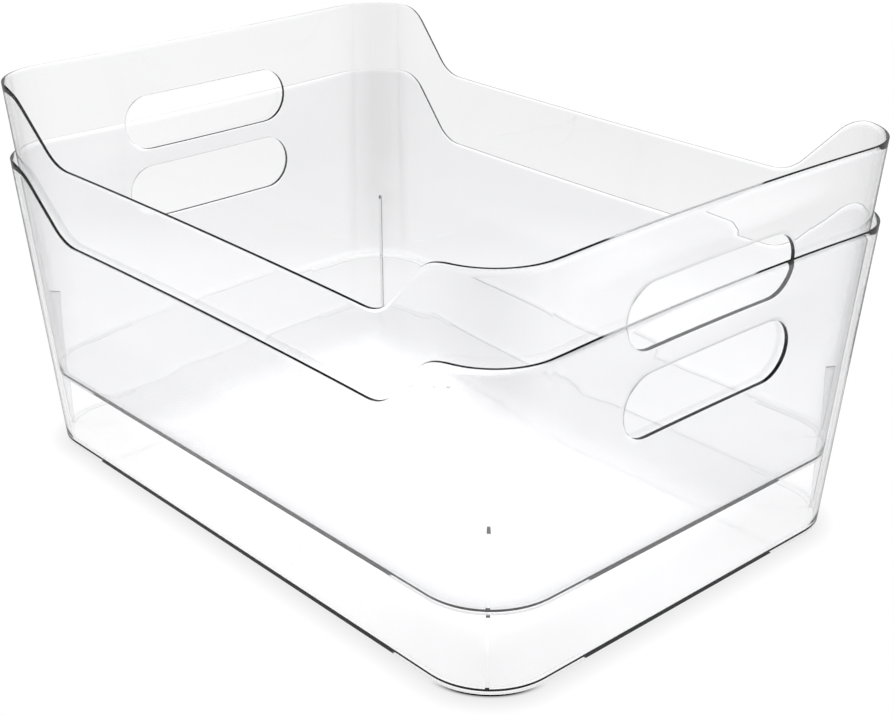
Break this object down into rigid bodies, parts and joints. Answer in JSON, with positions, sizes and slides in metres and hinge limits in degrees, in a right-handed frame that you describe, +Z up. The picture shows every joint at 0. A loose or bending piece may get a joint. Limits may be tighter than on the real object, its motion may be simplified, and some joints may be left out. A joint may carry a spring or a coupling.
{
  "type": "fridge bin",
  "caption": "Nested pair of clear open-top fridge bins with dipped side rims, slot handles in both end walls, corner feet and corner stacking ribs.",
  "frame": {"origin": "centre of the lower bin's footprint, on the shelf under its corner feet", "axes": "+X along the bins' length towards a handle, +Y across them, +Z up out of the open tops"},
  "size_m": [0.317, 0.223, 0.1656],
  "materials": {
    "clear_plastic": "colourless water-clear moulded plastic, glossy on every face"
  },
  "bodies": {
    "lower_bin": {"lower_bin": "clear_plastic"},
    "upper_bin": {"upper_bin": "clear_plastic"}
  },
  "joints": [
    {"name": "lift_out", "type": "slide", "parent": "lower_bin", "child": "upper_bin", "axis": [0, 0, 1], "range_m": [0, 0.16]}
  ]
}
